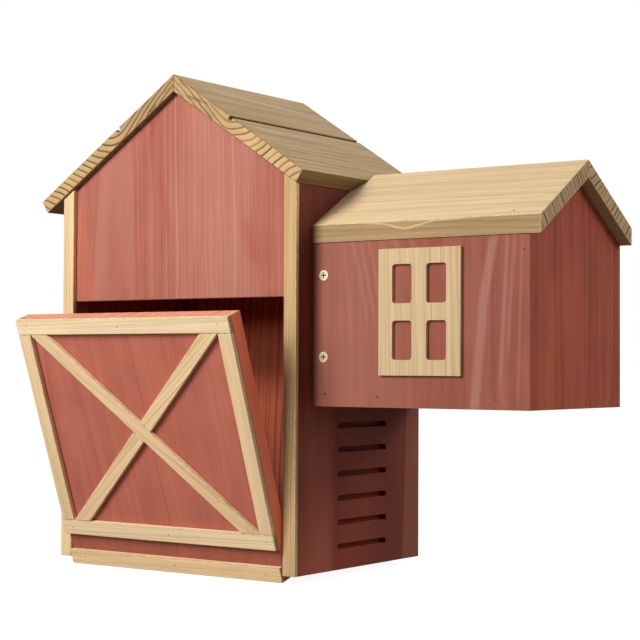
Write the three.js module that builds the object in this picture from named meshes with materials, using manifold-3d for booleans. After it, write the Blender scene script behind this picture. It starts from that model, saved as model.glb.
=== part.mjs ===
import * as THREE from 'three';
import { mergeVertices } from 'three/addons/utils/BufferGeometryUtils.js';
import Module from 'manifold-3d';

// A barn-shaped squirrel feeder box with a tilting hatch and a gabled entrance annexe.
// Millimetres. X runs to the right along the front, Y to the back, Z up.
// The origin is the centre of the barn's base.

const wasm = await Module();
wasm.setup();

const degree = Math.PI / 180;

// Stock and clearances
const board = 12;
const roofBoard = 12;
const seatGap = 0.3;
const cutOverrun = 2;

// Barn shell
const barnWidth = 250;
const barnDepth = 178;
const wallHeight = 307.8;
const barnPitch = 33.4 * degree;
const leftOverhang = 24;
const rightOverhang = 7.4;
const kerfRun = 71.7;
const kerfWidth = 3.2;
const kerfDepth = 3;
const postWidth = 12;
const postThickness = 4;
const roofProud = 6;
const hatchHeight = 219;

// Climbing grooves and the way through the right wall
const grooveFoot = 16.1;
const groovePitch = 19.6;
const grooveSetback = 54.5;
const grooveLength = 71.6;
const grooveWidth = 4.7;
const grooveDepth = 5;
const grooveCorner = 1.5;
const passageDiameter = 75;

// Fixing holes in the back panel
const fixingDiameter = 6;
const fixingMargin = 60;

// Hatch
const hatchSideGap = 1;
const hatchEndGap = 2.8;
const hatchProud = 2;
const hatchAngle = 19.1 * degree;
const pivotHeight = 8;
const pivotSetback = 5;
const pinDiameter = 4;
const pinWallReach = 8;
const pinPanelReach = 19;
const trimWidth = 13;
const trimThickness = 4;
const lowRailHeight = 27.2;
const braceWidth = 12;
const baseTrimHeight = 12.8;

// Annexe
const annexeLength = 193;
const annexeDrop = 45.8;
const annexeWallHeight = 129.4;
const annexeFrontInset = 19;
const annexeBackInset = 6.5;
const annexePitch = 31.3 * degree;
const annexeEaveOverhang = 1.2;
const annexeEndOverhang = 9.7;
const entranceDiameter = 75;
const entranceInset = 12;

// Window frame
const windowWidth = 72.8;
const windowThickness = 3;
const windowSetback = 63.8;
const windowSill = 24.8;
const windowHead = 7.6;
const windowStile = 12.3;
const windowRail = 11.9;
const mullionWidth = 13;
const midRailHeight = 13.2;
const paneCorner = 2.5;

// Screws and the cleats that they bite into
const screwInset = 10;
const screwFoot = 38.9;
const screwHead = 26;
const screwLength = 25;
const screwDiameter = 4;
const screwHeadDiameter = 8.6;
const screwHeadRim = 0.4;
const screwHeadDepth = 2.7;
const screwTipLength = 4;
const crossLength = 4.6;
const crossWidth = 0.9;
const crossDepth = 1.4;
const cleatWidth = 20;
const cleatDepth = 18;
const cleatFoot = 18.9;
const cleatHead = 6;

// Facets on round shapes
const holeSegments = 48;
const pinSegments = 24;
const cornerSegments = 5;

// Places worked out from the sizes
const wallFace = barnWidth / 2;
const wallInside = wallFace - board;
const frontEdge = -barnDepth / 2;
const backFace = barnDepth / 2;
const barnRise = Math.tan(barnPitch);
const ridgeHeight = wallHeight + wallFace * barnRise + (roofBoard + seatGap) / Math.cos(barnPitch);

const annexeDepth = barnDepth - annexeFrontInset - annexeBackInset;
const annexeHalf = annexeDepth / 2;
const annexeInside = annexeHalf - board;
const annexeCentre = frontEdge + annexeFrontInset + annexeHalf;
const annexeFoot = wallHeight - annexeDrop - annexeWallHeight;
const annexeRise = Math.tan(annexePitch);
const annexeRidge = annexeWallHeight + annexeHalf * annexeRise + (roofBoard + seatGap) / Math.cos(annexePitch);

const hatchWidth = 2 * (wallInside - hatchSideGap);
const hatchHalf = hatchWidth / 2;
const panelFront = -hatchProud - pivotSetback;
const panelBack = panelFront + board;
const panelFoot = -hatchEndGap - pivotHeight;
const pivotY = frontEdge + pivotSetback;

// The floor's front edge stops the lower back corner of the open hatch
const stopReach = panelBack * Math.cos(hatchAngle) - panelFoot * Math.sin(hatchAngle);
const floorFront = pivotY + stopReach + seatGap;

const redStain = 0x9b4f45;
const darkStain = 0x7a352c;
const pine = 0xdcb88a;
const brass = 0xd9b46c;

// Solids

function toSolid(geometry) {
  const bare = geometry.clone();
  bare.deleteAttribute('normal');
  bare.deleteAttribute('uv');
  const welded = mergeVertices(bare);
  return new wasm.Manifold(new wasm.Mesh({
    numProp: 3,
    vertProperties: welded.attributes.position.array,
    triVerts: new Uint32Array(welded.index.array)
  }));
}

function toGeometry(solid) {
  const mesh = solid.getMesh();
  const indexed = new THREE.BufferGeometry();
  indexed.setAttribute('position', new THREE.BufferAttribute(mesh.vertProperties, 3));
  indexed.setIndex(new THREE.BufferAttribute(mesh.triVerts, 1));
  const geometry = indexed.toNonIndexed();
  geometry.computeVertexNormals();
  return geometry;
}

function cut(geometry, cutters) {
  let solid = toSolid(geometry);
  for (const cutter of cutters) {
    solid = solid.subtract(toSolid(cutter));
  }
  return toGeometry(solid);
}

// Outlines

function outline(points) {
  return new THREE.Shape(points.map(([u, v]) => new THREE.Vector2(u, v)));
}

function rectangle(u0, u1, v0, v1) {
  return outline([[u0, v0], [u1, v0], [u1, v1], [u0, v1]]);
}

function roundedRectangle(u0, u1, v0, v1, radius) {
  const path = new THREE.Shape();
  path.moveTo(u0 + radius, v0);
  path.lineTo(u1 - radius, v0);
  path.absarc(u1 - radius, v0 + radius, radius, -Math.PI / 2, 0);
  path.lineTo(u1, v1 - radius);
  path.absarc(u1 - radius, v1 - radius, radius, 0, Math.PI / 2);
  path.lineTo(u0 + radius, v1);
  path.absarc(u0 + radius, v1 - radius, radius, Math.PI / 2, Math.PI);
  path.lineTo(u0, v0 + radius);
  path.absarc(u0 + radius, v0 + radius, radius, Math.PI, 1.5 * Math.PI);
  return path;
}

function mirrored(points) {
  return points.map(([u, v]) => [-u, v]);
}

function shifted([u, v], du) {
  return [u + du, v];
}

// Where the line through a and b meets the line through c and d
function meeting(a, b, c, d) {
  const across = (b[0] - a[0]) * (d[1] - c[1]) - (b[1] - a[1]) * (d[0] - c[0]);
  const share = ((c[0] - a[0]) * (d[1] - c[1]) - (c[1] - a[1]) * (d[0] - c[0])) / across;
  return [a[0] + share * (b[0] - a[0]), a[1] + share * (b[1] - a[1])];
}

// Prisms: an outline in the YZ plane along X, in the XZ plane along Y, or in the XY plane along Z

const unitX = new THREE.Vector3(1, 0, 0);
const unitY = new THREE.Vector3(0, 1, 0);
const unitZ = new THREE.Vector3(0, 0, 1);

function extrude(shape, length) {
  return new THREE.ExtrudeGeometry(shape, {
    depth: length,
    bevelEnabled: false,
    curveSegments: cornerSegments
  });
}

function prismX(shape, x0, x1) {
  const turn = new THREE.Matrix4().makeBasis(unitY, unitZ, unitX);
  return extrude(shape, x1 - x0).applyMatrix4(turn).translate(x0, 0, 0);
}

function prismY(shape, y0, y1) {
  const turn = new THREE.Matrix4().makeBasis(unitX, unitZ, unitY.clone().negate());
  return extrude(shape, y1 - y0).applyMatrix4(turn).translate(0, y1, 0);
}

function prismZ(shape, z0, z1) {
  return extrude(shape, z1 - z0).translate(0, 0, z0);
}

function rodX(diameter, x0, x1, y, z, segments) {
  const rod = new THREE.CylinderGeometry(diameter / 2, diameter / 2, x1 - x0, segments);
  return rod.rotateZ(Math.PI / 2).translate((x0 + x1) / 2, y, z);
}

function rodY(diameter, y0, y1, x, z, segments) {
  const rod = new THREE.CylinderGeometry(diameter / 2, diameter / 2, y1 - y0, segments);
  return rod.translate(x, (y0 + y1) / 2, z);
}

function rodZ(diameter, z0, z1, x, y, segments) {
  const rod = new THREE.CylinderGeometry(diameter / 2, diameter / 2, z1 - z0, segments);
  return rod.rotateX(Math.PI / 2).translate(x, y, (z0 + z1) / 2);
}

function addPiece(group, name, geometry, color, roughness = 0.7, metalness = 0) {
  const material = new THREE.MeshStandardMaterial({ color, roughness, metalness });
  const mesh = new THREE.Mesh(geometry, material);
  mesh.name = name;
  group.add(mesh);
  return mesh;
}

// Height of the cut that a piece under the barn's roof takes at a distance from the ridge
function barnCeiling(x) {
  return ridgeHeight - Math.abs(x) * barnRise - (roofBoard + seatGap) / Math.cos(barnPitch);
}

function annexeCeiling(y) {
  return annexeRidge - Math.abs(y) * annexeRise - (roofBoard + seatGap) / Math.cos(annexePitch);
}

// A point of the barn roof's section: a run down the right slope and a sink square to it
function slopePoint(run, sink) {
  const x = run * Math.cos(barnPitch) - sink * Math.sin(barnPitch);
  const z = ridgeHeight - run * Math.sin(barnPitch) - sink * Math.cos(barnPitch);
  return [x, z];
}

const box = new THREE.Group();

// Barn walls: vertical boards with sloping tops

const wallSection = [
  [wallInside, 0],
  [wallFace, 0],
  [wallFace, barnCeiling(wallFace)],
  [wallInside, barnCeiling(wallInside)]
];

function pinBore(x0, x1) {
  return rodX(pinDiameter + 2 * seatGap, x0, x1, pivotY, pivotHeight, pinSegments);
}

const pinWallEnd = wallInside + pinWallReach;
const boreWallEnd = pinWallEnd + seatGap;

addPiece(box, 'left_wall', cut(
  prismY(outline(mirrored(wallSection)), frontEdge, backFace),
  [pinBore(-boreWallEnd, -wallInside + cutOverrun)]
), redStain);

// The grooves run up the right wall to the underside of the annexe
const grooveCount = 1 + Math.floor((annexeFoot - grooveFoot - grooveWidth) / groovePitch);
const grooves = [];
for (let step = 0; step < grooveCount; step += 1) {
  const y0 = frontEdge + grooveSetback;
  const z0 = grooveFoot + step * groovePitch;
  const groove = roundedRectangle(y0, y0 + grooveLength, z0, z0 + grooveWidth, grooveCorner);
  grooves.push(prismX(groove, wallFace - grooveDepth, wallFace + cutOverrun));
}

const passageHeight = annexeFoot + (board + annexeWallHeight) / 2;
const passage = rodX(
  passageDiameter, wallInside - cutOverrun, wallFace + cutOverrun, annexeCentre, passageHeight, holeSegments
);

addPiece(box, 'right_wall', cut(
  prismY(outline(wallSection), frontEdge, backFace),
  [pinBore(wallInside - cutOverrun, boreWallEnd), passage, ...grooves]
), redStain);

// Gabled boards between the walls

function gableSection(foot) {
  return [
    [-wallInside, foot],
    [wallInside, foot],
    [wallInside, barnCeiling(wallInside)],
    [0, barnCeiling(0)],
    [-wallInside, barnCeiling(wallInside)]
  ];
}

addPiece(box, 'gable_panel', prismY(outline(gableSection(hatchHeight)), frontEdge, frontEdge + board), redStain);

const fixingHoles = [fixingMargin, wallHeight].map((z) => {
  return rodY(fixingDiameter, backFace - board - cutOverrun, backFace + cutOverrun, 0, z, holeSegments);
});
addPiece(box, 'back_panel', cut(
  prismY(outline(gableSection(0)), backFace - board, backFace),
  fixingHoles
), darkStain);

addPiece(box, 'floor', prismZ(rectangle(-wallInside, wallInside, floorFront, backFace - board), 0, board), darkStain);

// Corner posts on the front edges of the walls

const postInside = wallFace - postWidth;
const postSection = [
  [postInside, 0],
  [wallFace, 0],
  [wallFace, barnCeiling(wallFace)],
  [postInside, barnCeiling(postInside)]
];
const postFront = frontEdge - postThickness;
addPiece(box, 'left_corner_post', prismY(outline(mirrored(postSection)), postFront, frontEdge), pine);
addPiece(box, 'right_corner_post', prismY(outline(postSection), postFront, frontEdge), pine);

// Barn roof: two boards mitred at the ridge, square-cut at the eaves, each with a kerf down its length.
// Their front ends stand proud of the gable and cover the tops of the posts.
const roofFront = frontEdge - roofProud;

function roofSection(overhang) {
  const length = (wallFace + overhang) / Math.cos(barnPitch);
  return [
    slopePoint(0, 0),
    slopePoint(kerfRun, 0),
    slopePoint(kerfRun, kerfDepth),
    slopePoint(kerfRun + kerfWidth, kerfDepth),
    slopePoint(kerfRun + kerfWidth, 0),
    slopePoint(length, 0),
    slopePoint(length, roofBoard),
    [0, ridgeHeight - roofBoard / Math.cos(barnPitch)]
  ];
}

addPiece(box, 'roof_left', prismY(outline(mirrored(roofSection(leftOverhang))), roofFront, backFace), pine);
addPiece(box, 'roof_right', prismY(outline(roofSection(rightOverhang)), roofFront, backFace), pine);

// Pivot pins: blind dowels between the side walls and the ends of the hatch

const pinPanelEnd = hatchHalf - pinPanelReach;
const pinLength = pinWallEnd - pinPanelEnd;
for (const [name, side] of [['left_door_pin', -1], ['right_door_pin', 1]]) {
  const pin = addPiece(box, name, rodX(pinDiameter, 0, pinLength, 0, 0, pinSegments), pine);
  pin.position.set(side > 0 ? pinPanelEnd : -pinWallEnd, pivotY, pivotHeight);
}

// Hatch: closed it stands upright on the pivot axis, and here it is tilted out onto its stop

const hatch = new THREE.Group();
hatch.position.set(0, pivotY, pivotHeight);
hatch.rotation.x = hatchAngle;
box.add(hatch);

function endBore(side) {
  const outer = hatchHalf + cutOverrun;
  const inner = pinPanelEnd - seatGap;
  const diameter = pinDiameter + 2 * seatGap;
  return side > 0
    ? rodX(diameter, inner, outer, 0, 0, pinSegments)
    : rodX(diameter, -outer, -inner, 0, 0, pinSegments);
}

const panelTop = hatchHeight - hatchEndGap - pivotHeight;
addPiece(hatch, 'door_panel', cut(
  prismY(rectangle(-hatchHalf, hatchHalf, panelFoot, panelTop), panelFront, panelBack),
  [endBore(-1), endBore(1)]
), redStain);

const trimBack = panelFront - seatGap;
const trimFront = trimBack - trimThickness;
const lowRailFoot = panelFoot + lowRailHeight;
const lowRailTop = lowRailFoot + trimWidth;
const topRailFoot = panelTop - trimWidth;
const fieldFoot = lowRailTop + seatGap;
const fieldTop = topRailFoot - seatGap;
const fieldSide = hatchHalf - trimWidth - seatGap;

function addTrim(name, points) {
  addPiece(hatch, name, prismY(outline(points), trimFront, trimBack), pine);
}

function band(x0, x1, z0, z1) {
  return [[x0, z0], [x1, z0], [x1, z1], [x0, z1]];
}

addTrim('door_top_rail', band(-hatchHalf, hatchHalf, topRailFoot, panelTop));
addTrim('door_bottom_rail', band(-hatchHalf, hatchHalf, lowRailFoot, lowRailTop));
addTrim('door_left_stile', band(-hatchHalf, -hatchHalf + trimWidth, fieldFoot, fieldTop));
addTrim('door_right_stile', band(hatchHalf - trimWidth, hatchHalf, fieldFoot, fieldTop));

// Braces: each runs from corner to corner of the field with its ends cut along the rails.
// Its slope is the one at which a board of this width fills both corners.
const fieldWidth = 2 * fieldSide;
const fieldHeight = fieldTop - fieldFoot;
const braceAngle = Math.atan2(fieldHeight, fieldWidth) + Math.asin(braceWidth / Math.hypot(fieldWidth, fieldHeight));
const braceCut = braceWidth / Math.sin(braceAngle);
const jointGap = seatGap / Math.sin(braceAngle);

const longBrace = [
  [-fieldSide, fieldTop],
  [-fieldSide + braceCut, fieldTop],
  [fieldSide, fieldFoot],
  [fieldSide - braceCut, fieldFoot]
];
const [topCorner, topInner, footCorner, footInner] = longBrace;
const [crossTopCorner, crossTopInner, crossFootCorner, crossFootInner] = mirrored(longBrace);

// The half braces stop short of the long brace's two edges
const upperEdge = [shifted(topInner, jointGap), shifted(footCorner, jointGap)];
const lowerEdge = [shifted(topCorner, -jointGap), shifted(footInner, -jointGap)];

addTrim('door_long_brace', longBrace);
addTrim('door_upper_brace', [
  crossTopInner,
  crossTopCorner,
  meeting(crossTopCorner, crossFootInner, ...upperEdge),
  meeting(crossTopInner, crossFootCorner, ...upperEdge)
]);
addTrim('door_lower_brace', [
  crossFootCorner,
  meeting(crossTopInner, crossFootCorner, ...lowerEdge),
  meeting(crossTopCorner, crossFootInner, ...lowerEdge),
  crossFootInner
]);

addTrim('door_base_trim', band(-hatchHalf, hatchHalf, panelFoot, panelFoot + baseTrimHeight));

// Annexe: its own origin is on the barn's wall, under its ridge, at its lower edge

const annexe = new THREE.Group();
annexe.position.set(wallFace, annexeCentre, annexeFoot);
box.add(annexe);

// A countersunk wood screw about the Y axis, its head's face at zero and its point below
function screwSection(clearance, proud) {
  const head = screwHeadDiameter / 2 + clearance;
  const shank = screwDiameter / 2 + clearance;
  const end = screwLength + clearance;
  return [
    [0, proud],
    [head, proud],
    [head, -screwHeadRim],
    [shank, -screwHeadDepth - clearance],
    [shank, screwTipLength - end],
    [0, -end]
  ];
}

function turned(section, segments) {
  const points = section.map(([r, h]) => new THREE.Vector2(r, h)).reverse();
  return new THREE.LatheGeometry(points, segments);
}

function screwGeometry() {
  const slot = rectangle(-crossLength / 2, crossLength / 2, -crossWidth / 2, crossWidth / 2);
  const bar = extrude(slot, crossDepth + cutOverrun).rotateX(-Math.PI / 2).translate(0, -crossDepth, 0);
  return cut(turned(screwSection(0, 0), pinSegments), [bar, bar.clone().rotateY(Math.PI / 2)]);
}

// The screws' places: the wall that they go through, and their height
const screws = [
  ['front_upper_screw', -1, annexeWallHeight - screwHead],
  ['front_lower_screw', -1, screwFoot],
  ['back_upper_screw', 1, annexeWallHeight - screwHead],
  ['back_lower_screw', 1, screwFoot]
];

function screwBores(side) {
  return screws.filter(([, screwSide]) => screwSide === side).map(([, , height]) => {
    const bore = turned(screwSection(seatGap, cutOverrun), pinSegments);
    if (side < 0) bore.rotateZ(Math.PI);
    return bore.translate(screwInset, side * annexeHalf, height);
  });
}

for (const [name, side, height] of screws) {
  const screw = addPiece(annexe, name, screwGeometry(), brass, 0.35, 0.9);
  screw.position.set(screwInset, side * annexeHalf, height);
  if (side < 0) screw.rotation.z = Math.PI;
}

// The long walls and the cleats behind them, front and back alike
const eaveSection = [
  [annexeInside, 0],
  [annexeHalf, 0],
  [annexeHalf, annexeCeiling(annexeHalf)],
  [annexeInside, annexeCeiling(annexeInside)]
];
const cleatTop = annexeWallHeight - cleatHead;
const cleatBand = band(annexeInside - cleatDepth, annexeInside, cleatFoot, cleatTop);

for (const [end, side] of [['front', -1], ['back', 1]]) {
  const wall = side < 0 ? mirrored(eaveSection) : eaveSection;
  const cleat = side < 0 ? mirrored(cleatBand) : cleatBand;
  const bores = screwBores(side);
  addPiece(annexe, `annexe_${end}_wall`, cut(prismX(outline(wall), 0, annexeLength), bores), redStain);
  addPiece(annexe, `${end}_cleat`, cut(prismX(outline(cleat), 0, cleatWidth), bores), pine);
}

const endSection = [
  [-annexeInside, 0],
  [annexeInside, 0],
  [annexeInside, annexeCeiling(annexeInside)],
  [0, annexeCeiling(0)],
  [-annexeInside, annexeCeiling(annexeInside)]
];
const endInside = annexeLength - board;
addPiece(annexe, 'annexe_end_wall', prismX(outline(endSection), endInside, annexeLength), redStain);

const entrance = rodZ(
  entranceDiameter, -cutOverrun, board + cutOverrun, entranceInset + entranceDiameter / 2, 0, holeSegments
);
addPiece(annexe, 'annexe_floor', cut(
  prismZ(rectangle(0, endInside, -annexeInside, annexeInside), 0, board),
  [entrance]
), darkStain);

// Annexe roof: plumb-cut eaves, and a notch at the top left round the barn's eave.
// The notch follows the square cut of that eave and rises upright from its upper corner.
const notchRun = (wallFace + rightOverhang) / Math.cos(barnPitch) + seatGap;
const [lowX, lowZ] = slopePoint(notchRun, roofBoard + seatGap);
const [highX, highZ] = slopePoint(notchRun, 0);
const notchTop = Math.max(annexeFoot + annexeRidge, highZ) + cutOverrun;
const notchSection = [
  [wallFace - cutOverrun, lowZ],
  [lowX, lowZ],
  [highX, highZ],
  [highX, notchTop],
  [wallFace - cutOverrun, notchTop]
];
const eaveReach = annexeHalf + annexeEaveOverhang;
const eaveNotch = prismY(outline(notchSection), -eaveReach, eaveReach).translate(-wallFace, 0, -annexeFoot);

const plumbDepth = roofBoard / Math.cos(annexePitch);
const annexeRoofSection = [
  [0, annexeRidge],
  [eaveReach, annexeRidge - eaveReach * annexeRise],
  [eaveReach, annexeRidge - eaveReach * annexeRise - plumbDepth],
  [0, annexeRidge - plumbDepth]
];
const annexeRoofEnd = annexeLength + annexeEndOverhang;
addPiece(annexe, 'annexe_roof_front', cut(
  prismX(outline(mirrored(annexeRoofSection)), 0, annexeRoofEnd), [eaveNotch]
), pine);
addPiece(annexe, 'annexe_roof_back', cut(
  prismX(outline(annexeRoofSection), 0, annexeRoofEnd), [eaveNotch]
), pine);

// Window frame: one board with four round-cornered panes, flat on the front wall

const windowTop = annexeWallHeight - windowHead;
const windowEnd = windowSetback + windowWidth;
const windowShape = rectangle(windowSetback, windowEnd, windowSill, windowTop);
const paneWidth = (windowWidth - mullionWidth) / 2 - windowStile;
const paneHeight = (windowTop - windowSill - midRailHeight) / 2 - windowRail;
for (const x0 of [windowSetback + windowStile, windowEnd - windowStile - paneWidth]) {
  for (const z0 of [windowSill + windowRail, windowTop - windowRail - paneHeight]) {
    windowShape.holes.push(roundedRectangle(x0, x0 + paneWidth, z0, z0 + paneHeight, paneCorner));
  }
}
addPiece(annexe, 'window_frame', prismY(windowShape, -annexeHalf - windowThickness, -annexeHalf), pine);

export default box;
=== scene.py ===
import math

import bpy
from mathutils import Matrix, Vector


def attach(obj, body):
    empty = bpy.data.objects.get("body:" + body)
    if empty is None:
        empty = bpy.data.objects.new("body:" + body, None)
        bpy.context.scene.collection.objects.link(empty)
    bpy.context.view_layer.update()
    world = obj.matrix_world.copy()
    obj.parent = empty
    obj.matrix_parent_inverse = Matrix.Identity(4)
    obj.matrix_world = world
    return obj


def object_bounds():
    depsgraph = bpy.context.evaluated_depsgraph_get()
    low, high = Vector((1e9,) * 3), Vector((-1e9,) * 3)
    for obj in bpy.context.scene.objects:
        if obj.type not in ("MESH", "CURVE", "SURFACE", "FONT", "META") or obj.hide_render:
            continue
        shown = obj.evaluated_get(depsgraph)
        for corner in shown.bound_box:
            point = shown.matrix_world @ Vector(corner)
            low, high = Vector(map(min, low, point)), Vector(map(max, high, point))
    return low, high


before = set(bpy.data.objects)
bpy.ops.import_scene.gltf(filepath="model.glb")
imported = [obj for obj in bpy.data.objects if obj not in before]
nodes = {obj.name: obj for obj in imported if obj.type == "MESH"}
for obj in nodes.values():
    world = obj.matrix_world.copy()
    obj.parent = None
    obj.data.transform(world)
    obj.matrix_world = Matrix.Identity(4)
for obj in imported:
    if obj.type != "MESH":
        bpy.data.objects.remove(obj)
cad_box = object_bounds()

# The part's measures that boards and brads are placed by, in metres in the row frame at rest

MM = 0.001

X = Vector((1, 0, 0))
Y = Vector((0, 1, 0))
Z = Vector((0, 0, 1))

BARN_SIDE = 0.125  # outer face of a side wall
BARN_END = 0.089  # outer face of the gable panel and of the back panel
FLOOR_TOP = 0.012
GABLE_BASE = 0.219
POST_MIDDLE = 0.119  # left and right of the barn's middle
POST_FACE = -0.095

# The barn's roof: the way down each board and the way each looks
BARN_PITCH = math.radians(33.4)
BARN_RIDGE = Vector((0, 0, 0.40495))
RIGHT_SLOPE = Vector((math.cos(BARN_PITCH), 0, -math.sin(BARN_PITCH)))
LEFT_SLOPE = Vector((-math.cos(BARN_PITCH), 0, -math.sin(BARN_PITCH)))
RIGHT_FACE = Vector((math.sin(BARN_PITCH), 0, math.cos(BARN_PITCH)))
LEFT_FACE = Vector((-math.sin(BARN_PITCH), 0, math.cos(BARN_PITCH)))

ANNEXE_FRONT = -0.07
ANNEXE_MIDDLE = 0.00625
ANNEXE_BACK = 0.0825
ANNEXE_END = 0.318
ANNEXE_BASE = 0.1326
ANNEXE_FLOOR_TOP = 0.1446
WINDOW_MIDDLE = 0.227
WINDOW_BASE = 0.157
CLEAT_MIDDLE = 0.135
CLEAT_BASE = 0.15

# The annexe's roof, in the same way
ANNEXE_PITCH = math.radians(31.3)
ANNEXE_RIDGE = Vector((BARN_SIDE, ANNEXE_MIDDLE, 0.32277))
FRONT_SLOPE = Vector((0, -math.cos(ANNEXE_PITCH), -math.sin(ANNEXE_PITCH)))
BACK_SLOPE = Vector((0, math.cos(ANNEXE_PITCH), -math.sin(ANNEXE_PITCH)))
FRONT_FACE = Vector((0, -math.sin(ANNEXE_PITCH), math.cos(ANNEXE_PITCH)))
BACK_FACE = Vector((0, math.sin(ANNEXE_PITCH), math.cos(ANNEXE_PITCH)))

# The hatch as it stands at rest, open
HATCH_TILT = math.radians(19.1)
HATCH_UP = Vector((0, -math.sin(HATCH_TILT), math.cos(HATCH_TILT)))
HATCH_IN = Vector((0, math.cos(HATCH_TILT), math.sin(HATCH_TILT)))
PIVOT = Vector((0, -0.084, 0.008))
PIN_PLACE = 0.119  # left and right of the barn's middle
BRACE_RUN = Vector((197.4, 153.2)).normalized()  # across and up the hatch
DOWN_RIGHT = X * BRACE_RUN.x - HATCH_UP * BRACE_RUN.y
UP_RIGHT = X * BRACE_RUN.x + HATCH_UP * BRACE_RUN.y

# In millimetres: the boards' own frames and the hatch's are measured so

BOARD = 12.0  # thickness
KERF_HALF = 1.6
KERF_DEPTH = 3.0
PANEL_FACE = -7.0  # the hatch panel's front, inward of the pivot
TRIM_FACE = -11.3  # the hatch trims' front


def hatch_point(x, y, z):
    """A point of the hatch, in mm from the pivot: to the right, inward and up the hatch."""
    return PIVOT + X * (x * MM) + HATCH_IN * (y * MM) + HATCH_UP * (z * MM)


def srgb(colour, tint=(1, 1, 1)):
    """A colour given as 0 to 255 display values, as linear light, times a tint."""
    def lin(c):
        c /= 255
        return c / 12.92 if c <= 0.04045 else ((c + 0.055) / 1.055) ** 2.4
    return (*(lin(c) * k for c, k in zip(colour, tint)), 1.0)


# Node building

class Tree:
    """A short way to add and link nodes."""

    def __init__(self, tree):
        self.tree = tree

    def add(self, kind, inputs=None, **props):
        node = self.tree.nodes.new(kind)
        for key, value in props.items():
            setattr(node, key, value)
        for key, value in (inputs or {}).items():
            self.put(node.inputs[key], value)
        return node

    def put(self, socket, value):
        if isinstance(value, bpy.types.NodeSocket):
            self.tree.links.new(value, socket)
        else:
            socket.default_value = value

    def math(self, operation, a, b=0.0):
        return self.add("ShaderNodeMath", {0: a, 1: b}, operation=operation).outputs[0]

    def plus(self, a, b):
        return self.math("ADD", a, b)

    def minus(self, a, b):
        return self.math("SUBTRACT", a, b)

    def times(self, first, *others):
        for other in others:
            first = self.math("MULTIPLY", first, other)
        return first

    def vec(self, operation, a, b=(0, 0, 0)):
        outputs = self.add("ShaderNodeVectorMath", {0: a, 1: b}, operation=operation).outputs
        return outputs["Value" if operation in ("DOT_PRODUCT", "LENGTH") else "Vector"]

    def scaled(self, vector, scale):
        return self.vec("MULTIPLY", vector, scale)

    def split(self, vector):
        """The vector's parts, under the names X, Y and Z."""
        return self.add("ShaderNodeSeparateXYZ", {0: vector}).outputs

    def coordinate(self, kind):
        return self.add("ShaderNodeTexCoord").outputs[kind]

    def noise(self, vector, scale=1.0, detail=2.0, rough=0.5, dims="3D"):
        settings = {"Scale": scale, "Detail": detail, "Roughness": rough}
        node = self.add("ShaderNodeTexNoise", settings, noise_dimensions=dims)
        self.put(node.inputs["W" if dims == "1D" else "Vector"], vector)
        return node.outputs["Fac"]

    def ramp(self, value, stops):
        """Greys at given places from 0 to 1, with straight lines between them."""
        node = self.add("ShaderNodeValToRGB", {"Fac": value})
        elements = node.color_ramp.elements
        while len(elements) < len(stops):
            elements.new(0.5)
        for element, (place, grey) in zip(elements, stops):
            element.position = place
            element.color = (grey, grey, grey, 1)
        return node.outputs["Color"]

    def mix(self, factor, a, b, blend="MIX"):
        node = self.add("ShaderNodeMix", data_type="RGBA", blend_type=blend)
        for name, value in (("Factor", factor), ("A", a), ("B", b)):
            self.put(node.inputs[name], value)
        return node.outputs["Result"]

    def tinted(self, colour, tint):
        """The colour times a tint of its own for red, green and blue."""
        return self.mix(1.0, colour, (*tint, 1.0), "MULTIPLY")

    def shaded(self, colour, factor, low, high):
        """The colour times a grey that runs from low to high with the factor."""
        return self.mix(1.0, colour, self.ramp(factor, [(0.0, low), (1.0, high)]), "MULTIPLY")

    def span(self, value, low, high, to_low=0.0, to_high=1.0):
        node = self.add("ShaderNodeMapRange", {
            "Value": value, "From Min": low, "From Max": high, "To Min": to_low, "To Max": to_high})
        return node.outputs["Result"]


def empty_material(name):
    material = bpy.data.materials.new(name)
    material.use_nodes = True
    material.node_tree.nodes.clear()
    return material, Tree(material.node_tree)


def new_material(name):
    """A material with its tree and its shader."""
    material, t = empty_material(name)
    shader = t.add("ShaderNodeBsdfPrincipled")
    t.add("ShaderNodeOutputMaterial", {"Surface": shader.outputs[0]})
    return material, t, shader


# The wood's figure

# Changes per mm along, across and through a board
DRIFT = (0.006, 0.015, 0.015)
RIPPLE = (0.02, 0.06, 0.06)
FIBRE = (0.03, 1.5, 1.5)
STREAK = (0.009, 0.55, 0.55)
BAND = (0.006, 0.09, 0.09)
SLAB_WAVE = (0.005, 0.03, 0.05)
BLOTCH = (0.02, 0.06, 0.25)

# How far one seed lies from the next along, across and through a board, mm
SEED_STEP = (37.3, 11.1, 53.7)
SLAB_SEED_STEP = (31, 17, 7)
SEED_YEARS = 5.7
TAPER = 0.02  # mm that the rings widen per mm along the fibres
RIPPLE_DEPTH = 1.5  # mm
LEAN_YEARS = 2.2  # how far good and lean years shift the rings, in years
WEAKEST = 0.25  # strength of the faintest year's line
KNEE_BEND = 120.0  # softness of the knee in a slab's rings, mm squared
KNEE_REACH = (-25.0, 30.0)  # the knee's start and end, mm down the slope
RINGS_DOWN = (0.24, 0.1)  # rings per mm of depth, before the knee and beyond it
SLAB_WAVE_YEARS = 1.1

LOOKING = (0.6, 0.9)  # cosines at which a face starts to look some way, and does so fully
STREAK_FADE = 14  # mm beyond a streak's end where it is gone
STREAK_FULL = 4  # mm within a streak's end where it is whole
STREAK_BREAK = 0.65  # how much of a streak is left where it is weakest
FIBRE_HEIGHT = 0.7  # shares of the relief
LINE_HEIGHT = 0.4
RELIEF_HEIGHT = 0.2 * MM

# The parts of a noise's range that are spread over 0 to 1
WIDE = (0.3, 0.7)
NARROW = (0.35, 0.65)
DASHES = (0.42, 0.3)  # its low values alone

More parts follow.
